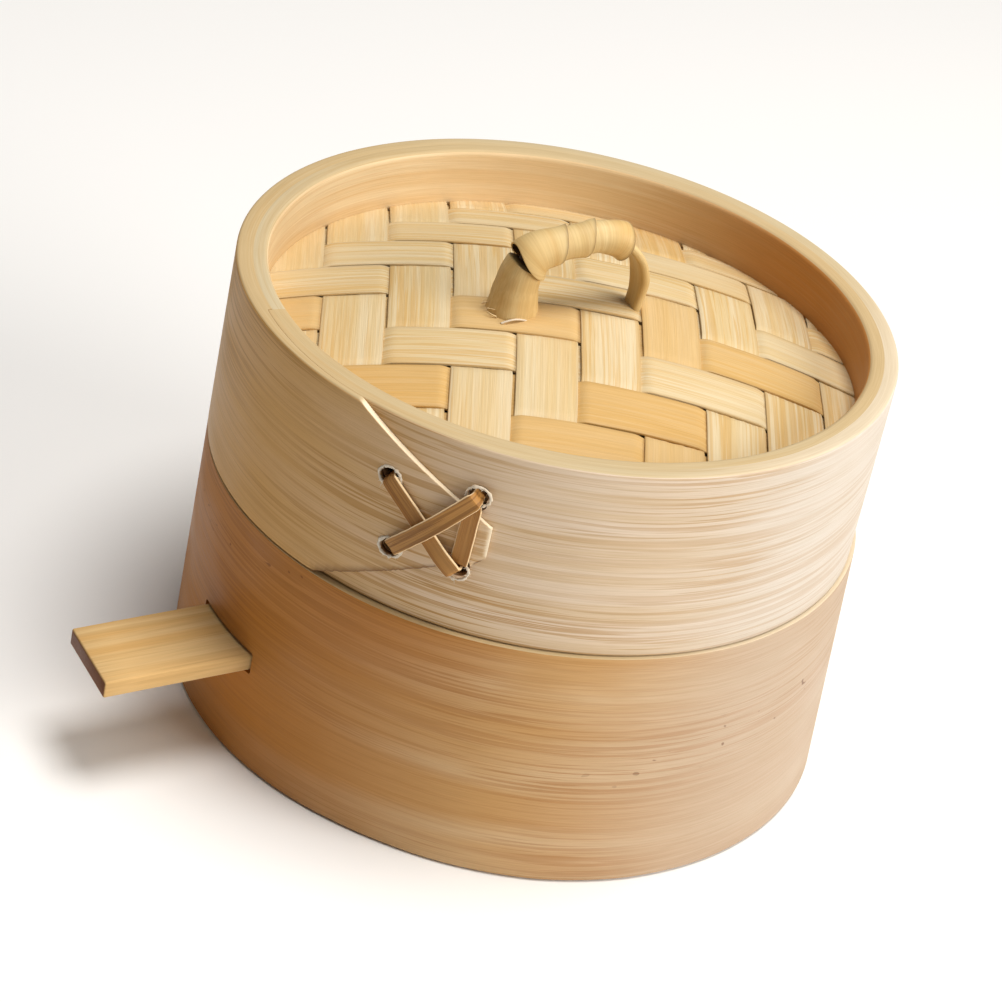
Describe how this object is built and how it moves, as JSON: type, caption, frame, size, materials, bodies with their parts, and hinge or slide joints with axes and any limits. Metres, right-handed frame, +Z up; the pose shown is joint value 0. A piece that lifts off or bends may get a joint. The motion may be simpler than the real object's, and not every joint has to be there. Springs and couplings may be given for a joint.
{
  "type": "bamboo steamer basket",
  "caption": "Round bamboo steaming basket with a flat stick handle, an inner slatted rack, and a lift-off lid with a domed woven top and a wrapped loop handle.",
  "frame": {"origin": "middle of the bottom of the whole object's box, on the table; the basket's own axis stands 17.6 mm along +X and 2.0 mm along +Y from it, because the stick handle runs out along -X and the wall spreads towards -Y", "axes": "+Z up through the lid, -X along the stick handle away from the basket, +Y across the rack's bars"},
  "size_m": [0.202, 0.1648, 0.1307],
  "materials": {
    "basket_hoop": "bent bamboo strip, warm tan, satin",
    "lid_hoop": "bent bamboo strip, pale tan, satin",
    "handle_bar": "flat bamboo stick with its smooth skin side up",
    "rack_bamboo": "plain split bamboo",
    "mat_warp": "pale shaved bamboo strip",
    "mat_weft": "golden shaved bamboo strip",
    "loop_cane": "folded and wound bamboo peel",
    "cane_lacing": "brown split cane"
  },
  "bodies": {
    "basket": {"basket_lace_fall": "cane_lacing", "basket_lace_rise": "cane_lacing", "basket_lace_upright": "cane_lacing", "basket_lower_ring": "basket_hoop", "basket_outer_hoop": "basket_hoop", "basket_upper_ring": "basket_hoop", "handle_bar": "handle_bar", "rack_slat_1": "rack_bamboo", "rack_slat_2": "rack_bamboo", "rack_slat_3": "rack_bamboo", "rack_slat_4": "rack_bamboo", "rack_slat_5": "rack_bamboo", "rack_slat_6": "rack_bamboo", "rack_slat_7": "rack_bamboo", "rack_slat_8": "rack_bamboo", "rack_slat_9": "rack_bamboo", "rack_support_left": "rack_bamboo", "rack_support_right": "rack_bamboo"},
    "lid": {"dome_lath_lower": "rack_bamboo", "dome_lath_upper": "rack_bamboo", "lid_lace_fall": "cane_lacing", "lid_lace_rise": "cane_lacing", "lid_lace_upright": "cane_lacing", "lid_lower_ring": "lid_hoop", "lid_outer_hoop": "lid_hoop", "lid_upper_ring": "lid_hoop", "loop_core": "loop_cane", "loop_toggle": "rack_bamboo", "loop_wrap": "loop_cane", "mat_warp_1": "mat_warp", "mat_warp_10": "mat_warp", "mat_warp_2": "mat_warp", "mat_warp_3": "mat_warp", "mat_warp_4": "mat_warp", "mat_warp_5": "mat_warp", "mat_warp_6": "mat_warp", "mat_warp_7": "mat_warp", "mat_warp_8": "mat_warp", "mat_warp_9": "mat_warp", "mat_weft_1": "mat_weft", "mat_weft_10": "mat_weft", "mat_weft_2": "mat_weft", "mat_weft_3": "mat_weft", "mat_weft_4": "mat_weft", "mat_weft_5": "mat_weft", "mat_weft_6": "mat_weft", "mat_weft_7": "mat_weft", "mat_weft_8": "mat_weft", "mat_weft_9": "mat_weft"}
  },
  "joints": [
    {"name": "lid_lift", "type": "slide", "parent": "basket", "child": "lid", "axis": [0, 0, 1], "range_m": [0, 0.1]}
  ]
}
